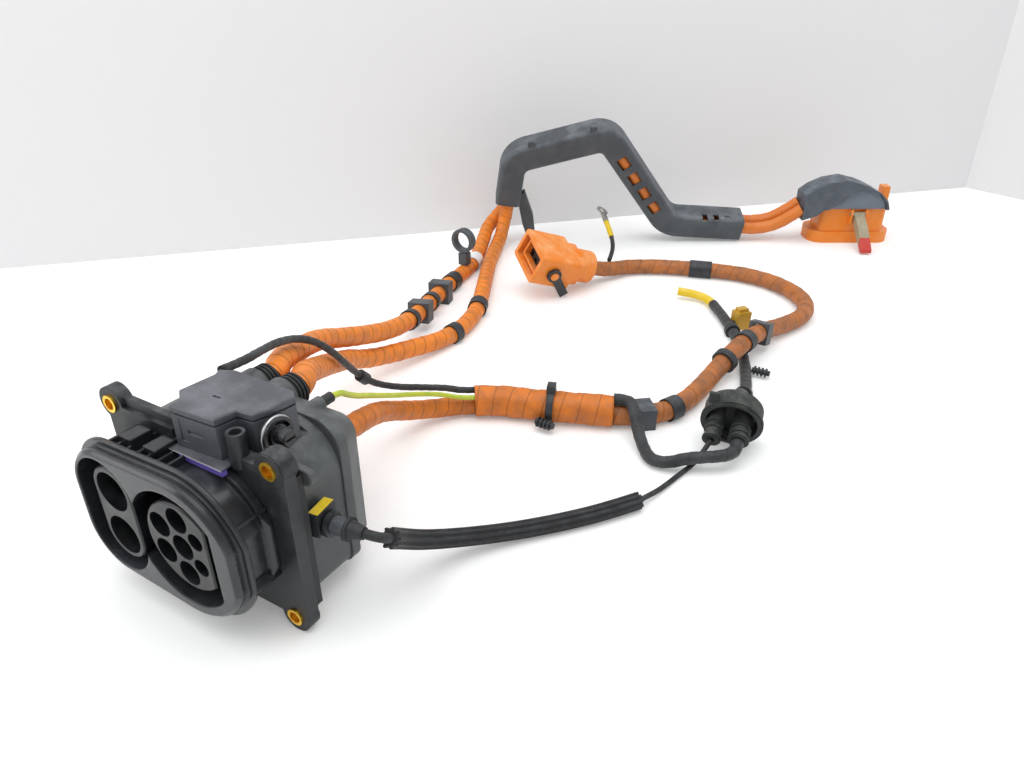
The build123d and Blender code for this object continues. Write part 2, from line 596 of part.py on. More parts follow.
wrap_ac_in = Vector(*route_wrap[0]) + drop_in
wrap_ac_out = Vector(*route_wrap[-1]) + drop_out
wrap_lead = Vector(*route_wrap[0]) + in_side * 3 + Vector(0, 0, 7.5)
wrap_earth = Vector(*route_wrap[0]) - in_side * 6 + Vector(0, 0, 6.5)
wrap_signal = Vector(*route_wrap[-1]) + out_side * 3 + Vector(0, 0, 8)
route_ac_in = [(ac_exit_x, end_y + ac_gland_len, axis_z + ac_exit_z),
               (ac_exit_x, end_y + ac_gland_len + 14, axis_z + ac_exit_z), (2.5, 76, 58.5),
               (-4, 92.5, 51.5), (-11.5, 108.5, 42.5), (-18, 121, 34.5), (-21.5, 134, 27),
               (-21.5, 150.5, 18.5), (-19, 165, 12.5), (-14, 177, 9),
               tuple(wrap_ac_in - wrap_in * 12), tuple(wrap_ac_in)]
route_ac_out = [tuple(wrap_ac_out), tuple(wrap_ac_out + wrap_out * 12), (122, 252.5, 8), (132, 275, 8), (135, 304.5, 8),
                (137, 334, 10.5), (143, 362, 18), (148.5, 391, 19.5), (151, 420, 12),
                (160.5, 447.5, 8), (170.5, 475.5, 8), (167, 504, 8), (149, 527.5, 8),
                (124, 543, 8), (95.5, 547.5, 8), (66, 542.5, 8), (38, 533.5, 8),
                (11, 522.5, 8), (-14.5, 507, 8), (-22.2, 489, 10),
                (-29.8, 469.9, 14.1), (-37.75, 457, 19.4)]
route_earth = [(10, 48.5, 91), (10, 56, 90), (6, 63, 84), (2, 76, 75), (-4, 91, 66), (-8, 108, 56),
               (-13.5, 129, 44), (-16, 151, 33), (-13, 172, 23.5),
               tuple(wrap_earth - wrap_in * 10), tuple(wrap_earth)]
route_lead = [(-29.5, 14, 112), (-35.5, 32.5, 107), (-41.5, 50, 104), (-47, 67.5, 100.5),
              (-51.5, 84.5, 94.5), (-51.3, 97.6, 87.6), (-50.8, 109, 77.3), (-52.4, 121, 63.5),
              (-58.3, 137.2, 45.3), (-58.5, 154.5, 27.5), (-47.5, 168.5, 20.5), (-33, 181, 18.5),
              (-17.5, 189.3, 18.5), tuple(wrap_lead - wrap_in * 10.5), tuple(wrap_lead)]
route_signal = [tuple(wrap_signal), tuple(wrap_signal + wrap_out * 7), (107, 236.5, 20.5), (112.5, 229.5, 17),
                (118.5, 221.5, 10.5), (126.5, 212, 5.2), (136.5, 200.5, 4.5), (148.5, 200.5, 6), (158.5, 207, 9.5),
                (168.5, 212.5, 11), (178.5, 218.5, 11.7), (184.9, 226.6, 12.4), (183.45, 234.9, 14.95)]
route_bow_in = [tuple(bow_end), tuple(bow_end + bow_dir * 5), (78, 6, 55), (75.7, 11.7, 50)]
route_bow_sleeve = [(75.7, 11.7, 50), (72, 19.5, 42.5), (70, 28.5, 34.5), (70.5, 40, 25.5),
                    (75.5, 57, 16), (87.5, 77.5, 9), (102.5, 96.5, 6), (119, 115.5, 5.6),
                    (134.5, 135, 5.6), (148, 155.8, 5.6)]
route_bow_out = [(148, 155.8, 5.6), (152.5, 171, 3.2), (155.5, 186, 2), (158.2, 199, 2),
                 (161.8, 211.5, 2.4), (165, 220.5, 8), (167.5, 228, 15)]
route_bundle = [(172.18, 259.6, 23.9), (170.4, 269, 26.8), (168.9, 281, 24.5), (168, 296, 15.5),
                (166.5, 311, 8.5), (163, 326.5, 5.5), (158.5, 341, 4.8), (153.5, 357, 4.8), (146, 376.5, 4.6), (137, 395.5, 4.6),
                (126.5, 413.5, 5), (115.5, 431.5, 5), (103.5, 448.5, 5.5), (90.5, 464.5, 5.5)]


def tube(route, r, name):
    """Round cable along a route: straight runs joined by tangent arcs."""
    points = [Vector(*p) for p in route]
    radii = []
    for before, at, after in zip(points, points[1:], points[2:]):
        run = min((at - before).length, (after - at).length)
        turn = math.radians((at - before).get_angle(after - at))
        radii.append(0.45 * run / math.tan(turn / 2))
    path = FilletPolyline(*points, radius=radii)
    start = Plane(origin=path @ 0, z_dir=path % 0)
    solid = sweep(start * Circle(r), path=path)
    fill = solid.volume / (math.pi * r * r * path.length)
    print(name, "length", round(path.length, 1), "smallest bend", round(min(radii), 1),
          "volume ratio", round(fill, 4))
    return solid


def place(route, k, t=0.5):
    """Frame across a cable, part of the way along one run of its route."""
    a = Vector(*route[k])
    b = Vector(*route[k + 1])
    return Plane(origin=a + (b - a) * t, z_dir=b - a)


def ring(route, k, r, length, thick, t=0.5):
    """Band around a cable."""
    inner_r = r + tape_gap
    band = Cylinder(inner_r + thick, length) - Cylinder(inner_r, length + 2)
    return place(route, k, t).location * band


dc_upper = tube(route_dc_upper, dc_cable_r, "dc_cable_upper")
dc_lower = tube(route_dc_lower, dc_cable_r, "dc_cable_lower")
export(dc_upper, "dc_cable_upper")
export(dc_lower, "dc_cable_lower")
export(collars - dc_upper - dc_lower, "dc_cable_collars")
export(tube(route_ac_in, ac_cable_in_r, "ac_cable_inlet"), "ac_cable_inlet")
export(tube(route_wrap, wrap_r, "harness_wrap"), "harness_wrap")
export(tube(route_ac_out, ac_cable_r, "ac_cable_outer"), "ac_cable_outer")
export(tube(route_earth, earth_r, "earth_wire"), "earth_wire")
export(tube(route_lead, lead_r, "actuator_lead"), "actuator_lead")
export(tube(route_signal, signal_r, "signal_lead"), "signal_lead")
export(tube(route_bow_sleeve, bow_sleeve_r, "ribbed_sleeve"), "ribbed_sleeve")
bow_parts = Part() + tube(route_bow_in, bow_cable_r, "release cable, near")
bow_parts += tube(route_bow_out, bow_thin_r, "release cable, far")
export(bow_parts, "release_cable")

# Bands and clips on cables
tapes = Part()
for route, k, r, length in ((route_dc_upper, 10, dc_cable_r, 9), (route_dc_upper, 12, dc_cable_r, 9),
                            (route_dc_lower, 10, dc_cable_r, 9), (route_dc_lower, 12, dc_cable_r, 12),
                            (route_dc_upper, 14, dc_cable_r, 14), (route_ac_out, 2, ac_cable_r, 11),
                            (route_ac_out, 15, ac_cable_r, 22), (route_ac_out, 6, ac_cable_r, 9)):
    tapes += ring(route, k, r, length, tape_t)
export(tapes, "tape_bands")
export(ring(route_dc_upper, 16, dc_cable_r, 17, 0.5), "label_band")


def saddle(route, k, r, length, side, height, t=0.5):
    """Clip block around a cable: a box with the cable's bore."""
    body = Box(side, height, length) - Cylinder(r + tape_gap, length + 2)
    return place(route, k, t).location * body


plates = saddle(route_dc_upper, 13, dc_cable_r, 13, 20, 20)
plates += saddle(route_dc_upper, 11, dc_cable_r, 16, 19, 18)
plates += saddle(route_ac_out, 1, ac_cable_r, 12, 18, 17)
plates += saddle(route_ac_out, 7, ac_cable_r, 12, 18, 17)
export(plates, "clip_plates")


# Pieces of the harness away from the inlet
export(rod_y(earth_x, axis_z + earth_z, 3, end_y, 48.4), "earth_stub")

# Grommet: a rubber cup with two pipes for the release cable and the signal lead
grommet_at = Plane(origin=(174.7, 246.2, 19.7), x_dir=(0.98, 0.19, 0),
                   z_dir=(0.18, -0.94, -0.29)).location
cup_r = 19.5
cup_depth = 14.0
cup_wall = 2.5
pipes = ((-10.5, 0.3, 5.2, 17.2, bow_thin_r), (6.5, -0.8, 6.0, 13.5, signal_r))


def stand(x, y, r, z0, z1):
    """Cylinder standing in a local frame."""
    return Pos(x, y, (z0 + z1) / 2) * Cylinder(r, z1 - z0)


cup = stand(0, 0, cup_r, -cup_depth, 0) - stand(0, 0, cup_r - cup_wall, -cup_depth + 2, 1)
cup += stand(0, 0, cup_r + 1.2, -3, -1) - stand(0, 0, cup_r - cup_wall, -4, 0)
for x, y, r, mouth, inner_r in pipes:
    cup += stand(x, y, r, -cup_depth + 1, mouth)
    for z in (3, 8, mouth - 1.5):
        cup += stand(x, y, r + 1, z - 0.8, z + 0.8)
    cup -= stand(x, y, inner_r + 0.25, mouth - 3, mouth + 1)
cup += Pos(-13, 20, -3) * Box(7, 9, 2)
export(grommet_at * cup, "grommet")

# Taped lead behind the grommet, its short branch, its open sleeve and its plug
branch = [(117, 431.5, 5), (121.5, 436.5, 5), (124, 440, 8)]
lead = tube(route_bundle, bundle_r, "rear_lead") + tube(branch, branch_r, "rear branch")
export(lead, "rear_lead")
sleeve_route = [(90.4, 464.6, 5.5), (85.4, 470.7, 5.5), (76, 475.6, 6), (65, 475.2, 7),
                (53, 471.6, 8)]
export(tube(sleeve_route, 4.0, "yellow_sleeve"), "yellow_sleeve")
plug_at = Pos(124, 440, 8) * Rot(0, 0, 50)
plug = plug_at * Box(13, 11, 16)
plug += plug_at * Pos(0, 0, 9) * Box(9, 7, 4)
plug += plug_at * Pos(7.5, 0, 4) * Box(3, 5, 2)
plug = plug - lead
export(plug, "coding_plug")

# Cable duct: an arched channel over the two DC cables, standing on its foot
duct_tilt = 16.0
turn_z = 31.24
duct_at = Pos(-177.3, 543.0, 0) * Rot(0, 0, turn_z) * Rot(duct_tilt, 0, 0)
duct_w = 32.0
duct_h = 27.0
duct_wall = 1.6
duct_line = [(-5, 52), (2, 104), (100, 131), (176, 24), (262, 18.4)]
duct_bends = [22, 20, 30]
cable_line = [(-5, 52), (-2.8, 72), (0.2, 90), (9, 105.5), (28, 111.8), (50, 117.8), (73, 123),
              (92, 126.5), (107, 119), (119, 104), (133, 85.5), (146, 65.5), (159, 47),
              (174, 31), (193, 23.2), (214, 21.2), (237, 20.6), (259, 18.2), (281, 17),
              (300, 21.5), (315, 33), (326, 43)]


def arch(points, bends, w):
    """Path in the duct's own plane: along, up; w is the place across."""
    return FilletPolyline(*[Vector(r, w, h) for r, h in points], radius=bends)


def along(path, outline):
    """Sweep an outline, drawn square to the duct's plane, along a path."""
    start = Plane(origin=path @ 0, x_dir=(0, 1, 0), z_dir=path % 0)
    return sweep(start * outline, path=path)


duct_path = arch(duct_line, duct_bends, 0)
duct = along(duct_path, RectangleRounded(duct_w, duct_h, 5))
duct -= along(duct_path, RectangleRounded(duct_w - 2 * duct_wall, duct_h - 2 * duct_wall, 3.5))
foot = [(7.5, 58), (14, 62), (24, 30), (27, 1.3), (18, 1.3), (12, 20), (7.5, 45)]
strut = make_face(Polyline([(r, 0, h) for r, h in foot], close=True))
strut = Pos(0, 4, 0) * extrude(strut, 8, dir=(0, -1, 0))
duct += strut - along(duct_path, RectangleRounded(duct_w - 1, duct_h - 1, 4.5))
leg_r = 176 - 100
leg_h = 24 - 131
for t in (0.25, 0.42, 0.59, 0.76):
    window = Pos(100 + leg_r * t, -duct_w / 2, 131 + leg_h * t) * Rot(0, 54.6, 0) * Box(14, 6, 11)
    duct -= window
for r in (218, 231, 244):
    duct -= Pos(r, -duct_w / 2 + 4, 36) * Box(6, 12, 8)
for r in (20, 84):
    duct += Pos(r, -duct_w / 2 + 6, 124 if r == 20 else 141) * Box(7, 8, 7)
hollow = along(duct_path, RectangleRounded(duct_w - 2 * duct_wall, duct_h - 2 * duct_wall, 3.5))
duct -= hollow
export(duct_at * duct, "cable_duct")
inside = Part()
for w in (-7.55, 7.55):
    inside += tube([(r, w, h) for r, h in cable_line], 6.8, "duct cable")
export(duct_at * inside, "duct_cables")

# DC connector at the far end of the duct, standing on its mating side
dc_at = Pos(103.7, 700.6, 0) * Rot(0, 0, turn_z)
lens = [(32, 40), (45, 49), (54, 58), (64, 61), (75, 61), (87, 57), (96, 46), (96, 40)]
boot_line = [(4, 28), (4, 56), (13, 63), (28, 70), (46, 73), (63, 69), (76, 64), (88, 58),
             (96, 50), (99, 42), (99, 40), (27.8, 40), (19, 33)]


def wall_y(points, y0, y1, grow=0.0):
    """Extrude a polygon given along and up, from y0 to y1 of the connector."""
    face = make_face(Polyline([(x, 0, z) for x, z in points], close=True))
    if grow:
        face = offset(face, amount=grow, kind=Kind.INTERSECTION)
    return Pos(0, y1, 0) * extrude(face, y1 - y0, dir=(0, -1, 0))


dc_boot = wall_y(boot_line, -15, 15)
dc_boot = fillet(dc_boot.edges().filter_by(Axis.Y).sort_by(Axis.Z)[-6:], 3)
dc_boot -= wall_y(lens, -16, 11)
dc_boot = dc_at * dc_boot - duct_at * inside
export(dc_boot, "dc_boot")
dc_shroud = wall_y(lens, -11, 10.7, -0.3) & block(20, 110, -20, 20, 40.05, 70)
export(dc_at * dc_shroud, "dc_shroud")
housing = Pos(65, 12.5, 6.5) * extrude(RectangleRounded(92, 43, 16), 6.5, both=True)
housing += Pos(65, 11.5, 26.5) * extrude(RectangleRounded(74, 37, 8), 13.5, both=True)
housing += block(102, 109.5, 15, 28, 13, 58)
housing += block(98, 104, 16, 27, 20, 38)
for x in (58.5, 75):
    housing += block(x, x + 2.2, -14, -6.5, 24, 39.5)
housing -= rod_x(-10.5, 34, 2.6 + bore_gap, 50, 90)
for x in (45, 85):
    housing -= rod_z(x, 12.5, 12.5, -1, 30)
export(dc_at * housing, "dc_connector_housing")
hold = rod_x(-10.5, 34, 2.6, 58.7, 77.0)
arm = [(-13.2, 35), (-8.5, 31), (-10, 27), (-46, -0.5 + 2), (-50, 2.5), (-49.5, 6), (-30, 24)]
arm = make_face(Polyline([(0, y, z) for y, z in arm], close=True))
arm = Pos(62.4, 0, 0) * extrude(arm, 11, dir=(1, 0, 0))
front_part = block(50, 90, -60, -38.5, 0, 30)
hold += arm
export(dc_at * (hold - front_part), "dc_handle")
export(dc_at * (arm & front_part), "dc_handle_tip")

# AC connector at the end of the AC cable, with its lever
ac_at = Plane(origin=(-72.4, 400.8, 42.5), x_dir=(0.724, -0.591, -0.354),
              z_dir=(-0.495, -0.803, 0.33)).location
ac_len = 42.0
pivot_z = -19.0
shell = Pos(0, 0, -ac_len / 2) * extrude(RectangleRounded(46, 31, 3), ac_len / 2, both=True)
shell += stand(0, 0, 16, -69.9, -50)
shell += Pos(0, 0, -ac_len - 5) * extrude(RectangleRounded(38, 29, 8), 5.5, both=True)
shell -= Pos(0, 0, -14) * extrude(RectangleRounded(38, 23, 2), 15, both=True)
sleeve = Pos(0, 0, -17) * extrude(RectangleRounded(32, 18, 2), 13, both=True)
sleeve -= Pos(0, 0, -14) * extrude(RectangleRounded(27, 13.5, 1), 12, both=True)
shell += sleeve
for side in (-1, 1):
    shell += Pos(side * 25.1, 0, pivot_z) * Rot(0, 90, 0) * Cylinder(4, 4.6)
export(ac_at * shell, "ac_connector_housing")
insert = Pos(0, 0, -18) * extrude(RectangleRounded(26.7, 13.2, 1), 8, both=True)
for x in (-8.5, 0, 8.5):
    for y in (-3.2, 3.2):
        insert -= stand(x, y, 2.2, -20, -9)
        insert += stand(x, y, 0.9, -21, -11)
export(ac_at * insert, "ac_connector_insert")
lever_turn = 41.0
lever_t = 3.0
lever = Part()
for side in (-1, 1):
    x0 = side * 24.9
    hub = Pos(x0, 0, 0) * Rot(0, 90, 0) * Cylinder(7, lever_t)
    bar = Pos(x0, 0, -14.8) * Box(lever_t, 9, 29.6)
    hole = Pos(x0, 0, 0) * Rot(0, 90, 0) * Cylinder(4 + bore_gap, 10)
    lever += hub + bar - hole
lever += Pos(0, 0, -28.8) * Box(2 * 24.9, 7, 1.6)
lever = Pos(0, 0, pivot_z) * Rot(-lever_turn, 0, 0) * lever
export(ac_at * lever, "ac_connector_lever")

# Bonding wire with its ring terminal, leaving the AC cable
route_bond = [(-25.2, 481.5, 21.3), (-27.5, 491, 23), (-31.5, 503.5, 26.5), (-38, 514.6, 31.5),
              (-46.5, 525, 36.5), (-55, 535.5, 40.5)]
export(tube(route_bond, bond_r, "bond_wire"), "bond_wire")
term_dir = (Vector(*route_bond[-1]) - Vector(*route_bond[-2])).normalized()
term_up = Vector(0.6, 0, 0.8)
term_side = (term_up - term_dir * term_up.dot(term_dir)).normalized()
term_at = Plane(origin=Vector(*route_bond[-1]), x_dir=term_dir, z_dir=term_side).location
terminal = Pos(5, 0, 0) * Rot(0, 90, 0) * Cylinder(2.9, 10)
terminal += Pos(13, 0, 0) * Box(8, 6, 1.6)
terminal += Pos(21.5, 0, 0) * Cylinder(6.6, 1.6)
terminal -= Pos(21.5, 0, 0) * Cylinder(3.2, 5)
export(term_at * terminal, "ring_terminal")

# Dark clips: ties, tree clips and small tube clips beside the cables
clips = ring(route_wrap, 3, wrap_r, 5, 1.2, 0.2)
clips += place(route_wrap, 3, 0.2).location * Pos(0, wrap_r + 3.3, 0) * Box(8, 6, 6)
clips += ring(route_ac_out, 5, ac_cable_r, 6, 2.0, 0.4)
clips += ring(route_bundle, 3, bundle_r, 7, 1.6, 0.3)
clips += ring(route_bundle, 10, bundle_r, 6, 1.6, 0.3)
clips += ring(route_lead, 8, lead_r, 8, 1.5, 0.5)
for x, y, z, a in ((57.5, 199.9, 6.5, -68), (165.6, 357.5, 5, 17)):
    stem = Pos(x, y, z) * Rot(0, 90, a) * Cylinder(2.2, 14)
    for k in range(4):
        stem += Pos(x, y, z) * Rot(0, 90, a) * Pos(0, 0, -5 + 3 * k) * Cylinder(3.6, 1.2)
    clips += stem
export(clips, "cable_clips")

# Ring clamp standing on the upper DC cable
clamp_at = Pos(-153, 410, 15.3)
clamp = clamp_at * (Pos(0, 0, 6) * Box(9, 9, 12))
clamp += clamp_at * Pos(0, 0, 13) * Box(7, 5, 5)
clamp += Pos(-153.7, 410, 40) * Rot(90, 0, 20) * (Cylinder(12, 8) - Cylinder(9, 12))
clamp += Pos(-152, 410, 29.5) * Box(6, 6, 3)
clamp -= tube(route_dc_upper, dc_cable_r + tape_gap, "bore of the ring clamp")
export(clamp, "ring_clamp")
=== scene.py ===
import math

import bmesh
import bpy
from mathutils import Matrix, Vector


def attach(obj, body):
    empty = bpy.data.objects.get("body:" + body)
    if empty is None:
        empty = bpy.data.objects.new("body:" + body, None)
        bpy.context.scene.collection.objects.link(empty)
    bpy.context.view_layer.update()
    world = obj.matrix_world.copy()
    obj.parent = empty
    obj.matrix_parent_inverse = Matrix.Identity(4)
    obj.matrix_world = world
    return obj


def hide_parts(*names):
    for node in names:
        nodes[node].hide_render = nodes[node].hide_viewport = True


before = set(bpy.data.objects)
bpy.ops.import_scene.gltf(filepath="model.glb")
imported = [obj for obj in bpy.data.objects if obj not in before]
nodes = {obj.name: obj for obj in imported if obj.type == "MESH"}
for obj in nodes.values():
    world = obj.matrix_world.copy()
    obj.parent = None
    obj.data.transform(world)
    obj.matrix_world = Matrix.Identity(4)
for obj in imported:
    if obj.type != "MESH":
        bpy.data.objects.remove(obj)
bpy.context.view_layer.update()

INLET = "inlet_and_harness"
MM = 0.001
ROW_X = 5.5  # the routes are written from the earth contact, 5.5 mm beside the row's origin


def at(x, y, z):
    """A point given in mm from the earth contact's foot, in metres in the row frame."""
    return Vector(((x + ROW_X) * MM, y * MM, z * MM))


# Finishes

GRAIN_DEPTH = 0.1 * MM  # depth of moulded grain and of turning marks
TAPE_STEP = 0.5 * MM  # height of a lap of tape with its creases
STAIN_SCALE = 90.0  # stains on tape about 11 mm across
WEAVE_SCALE = 1600.0  # cloth threads 0.6 mm apart, coarser than real so that they show
CREASE_SCALE = 260.0  # creases about 4 mm apart
TARNISH_SCALE = 300.0  # dull patches on metal about 3 mm across


def shade(code):
    """A hex colour as linear values."""
    parts = [int(code[i:i + 2], 16) / 255 for i in (1, 3, 5)]
    lin = [c / 12.92 if c <= 0.04045 else ((c + 0.055) / 1.055) ** 2.4 for c in parts]
    return (*lin, 1.0)


def add(tree, kind, sockets=None, **settings):
    """Adds one shader node: settings are its properties, sockets its values and links."""
    node = tree.nodes.new("ShaderNode" + kind)
    for name, value in settings.items():
        setattr(node, name, value)
    for name, value in (sockets or {}).items():
        if isinstance(value, bpy.types.NodeSocket):
            tree.links.new(value, node.inputs[name])
        else:
            node.inputs[name].default_value = value
    return node


def start(name):
    """A new material: its tree and its surface shader."""
    made = bpy.data.materials.new(name)
    made.use_nodes = True
    tree = made.node_tree
    return made, tree, tree.nodes["Principled BSDF"]


def blend_colour(tree, share, under, over):
    """The colour under, going to over where share is 1."""
    return add(tree, "Mix", {0: share, 6: under, 7: over}, data_type="RGBA").outputs[2]


def span(tree, value, low, high, to_low=0.0, to_high=1.0):
    """value, stretched from low..high to to_low..to_high."""
    return add(tree, "MapRange", {0: value, 1: low, 2: high, 3: to_low, 4: to_high}).outputs[0]


def moulded(name, body, dust_and_sheen, roughness, grain_mm=0.6, grain=0.05, dust_and_sheen_share=0.5, streak_mm=9.0,
            edge_mm=0.4):
    """Injection-moulded plastic or rubber: spark-eroded grain, cloudy pale patches of dust and painted
    sheen, thicker on faces that look up, a little unevenness in the gloss, and edges rounded by the mould."""
    made, tree, shader = start(name)
    place = add(tree, "TexCoord").outputs["Object"]
    fine = add(tree, "TexNoise", {"Vector": place, "Scale": 1.0 / (grain_mm * MM), "Detail": 2.0})
    cloud = add(tree, "TexNoise", {"Vector": place, "Scale": 1.0 / (streak_mm * MM), "Detail": 5.0,
                                   "Roughness": 0.62})
    up = add(tree, "SeparateXYZ", {0: add(tree, "NewGeometry").outputs["Normal"]}).outputs["Z"]
    # Faces that look up take more of the pale colour: dust settles there, and it is also a painted sheen of
    # the light falling on their tops.
    up_facing_dust_and_sheen = span(tree, up, 0.1, 1.0, 0.25, 1.0)
    patches = span(tree, cloud.outputs["Fac"], 0.42, 0.68, 0.0, dust_and_sheen_share)
    dust_and_painted_sheen = add(tree, "Math", {0: up_facing_dust_and_sheen, 1: patches}, operation="MULTIPLY").outputs[0]
    gloss = span(tree, cloud.outputs["Fac"], 0.3, 0.75, roughness - 0.07, roughness + 0.14)
    edges = add(tree, "Bevel", {"Radius": edge_mm * MM}, samples=4)
    bump = add(tree, "Bump", {"Strength": grain * 4, "Distance": GRAIN_DEPTH, "Height": fine.outputs["Fac"],
                              "Normal": edges.outputs[0]})
    tree.links.new(blend_colour(tree, dust_and_painted_sheen, shade(body), shade(dust_and_sheen)), shader.inputs["Base Color"])
    tree.links.new(gloss, shader.inputs["Roughness"])
    tree.links.new(bump.outputs[0], shader.inputs["Normal"])
    return made


def wound_tape(name, body, lap_shade_colour, worn, pitch_mm, roughness, sheen=0.0):
    """Harness tape wound round a cable: each turn laps over the last, with a painted shade line
    running round in a helix along each lap edge; the cloth shows as a fine weave and the tape creases."""
    made, tree, shader = start(name)
    where = add(tree, "TexCoord")
    along = add(tree, "SeparateXYZ", {0: where.outputs["UV"]})
    turns = add(tree, "Math", {0: along.outputs["X"], 1: 1.0 / pitch_mm}, operation="MULTIPLY").outputs[0]
    helix = add(tree, "Math", {0: turns, 1: along.outputs["Y"]}, operation="ADD").outputs[0]
    lap = add(tree, "Math", {0: helix}, operation="FRACT").outputs[0]
    # A painted shade line along each lap edge, where one turn lies over the last.
    line = span(tree, lap, 0.0, 0.1, 1.0, 0.0)
    place = where.outputs["Object"]
    cloud = add(tree, "TexNoise", {"Vector": place, "Scale": STAIN_SCALE, "Detail": 5.0, "Roughness": 0.6})
    weave = add(tree, "TexNoise", {"Vector": place, "Scale": WEAVE_SCALE, "Detail": 1.0})
    crease = add(tree, "TexNoise", {"Vector": place, "Scale": CREASE_SCALE, "Detail": 3.0, "Distortion": 0.6})
    patchy = span(tree, cloud.outputs["Fac"], 0.38, 0.7)
    base = blend_colour(tree, patchy, shade(body), shade(worn))
    faint_lap_shade = add(tree, "Math", {0: line, 1: 0.75}, operation="MULTIPLY").outputs[0]
    gloss = span(tree, crease.outputs["Fac"], 0.3, 0.7, roughness - 0.08, roughness + 0.1)
    step = add(tree, "Math", {0: lap, 1: -0.6}, operation="MULTIPLY").outputs[0]
    cloth = add(tree, "Math", {0: weave.outputs["Fac"], 1: 0.12, 2: step},
                operation="MULTIPLY_ADD").outputs[0]
    height = add(tree, "Math", {0: crease.outputs["Fac"], 1: 0.6, 2: cloth},
                 operation="MULTIPLY_ADD").outputs[0]
    bump = add(tree, "Bump", {"Strength": 0.6, "Distance": TAPE_STEP, "Height": height})
    tree.links.new(blend_colour(tree, faint_lap_shade, base, shade(lap_shade_colour)), shader.inputs["Base Color"])
    tree.links.new(gloss, shader.inputs["Roughness"])
    tree.links.new(bump.outputs[0], shader.inputs["Normal"])
    shader.inputs["Sheen Weight"].default_value = sheen
    return made


def metal(name, body, stain, roughness, scratch_mm=0.5):
    """Bare metal: fine turning marks, dulled in patches."""
    made, tree, shader = start(name)
    place = add(tree, "TexCoord").outputs["Object"]
    marks = add(tree, "TexNoise", {"Vector": place, "Scale": 1.0 / (scratch_mm * MM), "Detail": 3.0})
    cloud = add(tree, "TexNoise", {"Vector": place, "Scale": TARNISH_SCALE, "Detail": 3.0})
    patchy = span(tree, cloud.outputs["Fac"], 0.45, 0.75)
    gloss = span(tree, marks.outputs["Fac"], 0.3, 0.7, roughness - 0.08, roughness + 0.12)
    bump = add(tree, "Bump", {"Strength": 0.15, "Distance": GRAIN_DEPTH, "Height": marks.outputs["Fac"]})
    tree.links.new(blend_colour(tree, patchy, shade(body), shade(stain)), shader.inputs["Base Color"])
    tree.links.new(gloss, shader.inputs["Roughness"])
    tree.links.new(bump.outputs[0], shader.inputs["Normal"])
    shader.inputs["Metallic"].default_value = 1.0
    return made


# Glass-filled nylon, black, with pale handling dust and a painted sheen on faces that look up: the inlet's
# housings
nylon = moulded("black_nylon", "#222427", "#70757c", 0.42, grain_mm=0.5, dust_and_sheen_share=0.55)
# The same nylon on the rim, polished by plugs: a long clear highlight
rim_nylon = moulded("polished_rim_nylon", "#25272a", "#6d7279", 0.2, grain_mm=0.4, grain=0.015,
                    dust_and_sheen_share=0.22, streak_mm=30, edge_mm=1.8)
# Contact blocks, smooth PBT
contact_black = moulded("contact_pbt", "#141518", "#4a4f57", 0.34, grain_mm=0.4, grain=0.02, dust_and_sheen_share=0.25)
# The frame behind the rim, dustier than the rest
frame_nylon = moulded("dusty_frame_nylon", "#232527", "#6e7378", 0.5, dust_and_sheen_share=0.55)
# The same nylon, paler where dust lies and with a painted sheen on faces that look up: cover and rear
# housing, then the actuator
cover_nylon = moulded("grey_cover_nylon", "#4e5253", "#84888a", 0.44, dust_and_sheen_share=0.5, edge_mm=2.0)
actuator_nylon = moulded("actuator_nylon", "#4a4c52", "#85888f", 0.4, dust_and_sheen_share=0.55, streak_mm=24,
                         edge_mm=0.8)
# Rubber and foam: matt, with dust that clings
rubber_black = moulded("black_rubber", "#202123", "#55585b", 0.58, grain_mm=0.8, dust_and_sheen_share=0.5)
rubber_grommet = moulded("grommet_rubber", "#2b2e30", "#6a6d62", 0.62, grain_mm=1.0, dust_and_sheen_share=0.6)
rubber_boot = moulded("dusty_boot_rubber", "#4f565f", "#8a9199", 0.6, grain_mm=1.2, dust_and_sheen_share=0.7)
gasket_foam = moulded("gasket_foam", "#d6d8dc", "#f0f1f3", 0.6, grain_mm=0.9, dust_and_sheen_share=0.3)
# Smooth coloured mouldings
violet_strip = moulded("violet_strip", "#6a58b8", "#a79fd6", 0.45, dust_and_sheen_share=0.3)
# Matt nylon of the harness: duct and clips, the dustiest parts
duct_nylon = moulded("dusty_duct_nylon", "#44494e", "#80868c", 0.52, grain_mm=1.0, dust_and_sheen_share=0.8,
                     streak_mm=22)
dark_clip = moulded("dark_clip_nylon", "#26292c", "#5f656b", 0.5, dust_and_sheen_share=0.5)
# The connectors: orange PBT with pale patches that are a painted highlight, and their grey, beige and red
# small parts
orange_pbt = moulded("orange_pbt", "#f58a24", "#fbc08a", 0.4, dust_and_sheen_share=0.75, streak_mm=14)
wheel_acetal = moulded("dark_acetal", "#1b1c1e", "#73777c", 0.36, dust_and_sheen_share=0.4)
shroud_grey = moulded("grey_shroud_nylon", "#6e7884", "#98a2ac", 0.45, dust_and_sheen_share=0.5)
handle_beige = moulded("beige_handle_nylon", "#a59a80", "#c6bda8", 0.42, dust_and_sheen_share=0.5)
tip_red = moulded("red_tip_nylon", "#c93a30", "#d97a70", 0.42, dust_and_sheen_share=0.3)
yellow_pe = moulded("yellow_polyethylene", "#e6c51f", "#efe08a", 0.42, dust_and_sheen_share=0.3)
plug_ochre = moulded("ochre_plug_nylon", "#c69a2c", "#dcc27a", 0.42, dust_and_sheen_share=0.4)
white_acetal = moulded("white_acetal", "#e6e4dd", "#ffffff", 0.42, dust_and_sheen_share=0.2)
